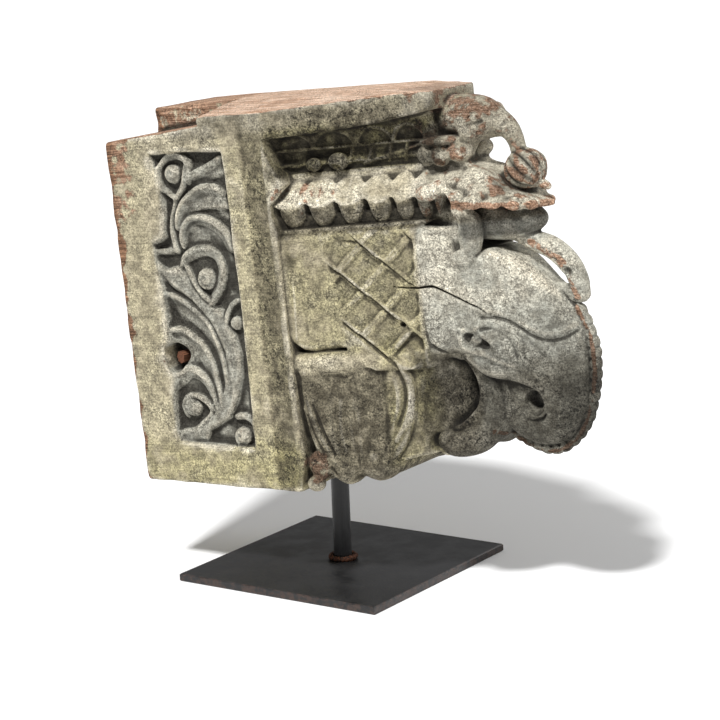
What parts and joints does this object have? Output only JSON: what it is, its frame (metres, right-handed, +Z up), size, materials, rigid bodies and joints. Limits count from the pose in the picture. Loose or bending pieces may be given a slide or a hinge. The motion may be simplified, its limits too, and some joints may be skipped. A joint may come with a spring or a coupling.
{
  "type": "carved wooden corbel on stand",
  "caption": "Weathered carved wooden wall corbel with a sunk scroll panel, a petal course and a bowed beast's head, held up by a round rod on a square steel plate.",
  "frame": {"origin": "middle of the steel plate's underside", "axes": "+X along the corbel from its wall end to its head, parallel to two sides of the plate; +Y across it, away from the side with the peg hole; +Z up"},
  "size_m": [0.3878, 0.18, 0.3742],
  "materials": {
    "weathered_wood": "old hardwood under worn pale green and grey lime paint, speckled dark, raw pinkish wood where it is sawn or rubbed",
    "brown_wood": "bare brown end grain, broken off",
    "dark_steel": "dark grey mill steel, satin and mottled, brown along its edges",
    "rusty_weld": "rusty dark weld bead"
  },
  "bodies": {
    "root": {"corbel": "weathered_wood", "peg": "brown_wood", "base_plate": "dark_steel", "rod": "dark_steel", "weld": "rusty_weld"}
  },
  "joints": []
}
